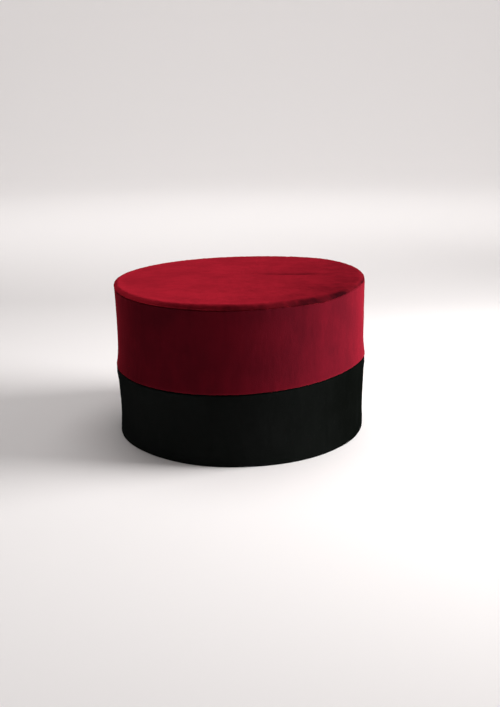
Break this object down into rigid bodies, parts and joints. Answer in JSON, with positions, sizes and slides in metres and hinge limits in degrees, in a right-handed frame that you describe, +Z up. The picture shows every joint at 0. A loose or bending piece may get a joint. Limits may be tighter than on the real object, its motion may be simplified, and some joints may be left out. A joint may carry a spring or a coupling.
{
  "type": "pillbox hat",
  "caption": "Tall oval pillbox hat with a flat red velvet crown and a black velvet head band, open below for the head.",
  "frame": {"origin": "on the surface that the hat rests on, below the middle of its oval", "axes": "+Z up through the flat top, +Y from the front of the hat to its back, +X across the head"},
  "size_m": [0.176, 0.2046, 0.1074],
  "materials": {
    "red_velvet": "matte velvet pile with a soft sheen at grazing angles",
    "black_velvet": "matte short velvet pile"
  },
  "bodies": {
    "root": {"crown_tip": "red_velvet", "crown_wall": "red_velvet", "head_band": "black_velvet"}
  },
  "joints": []
}
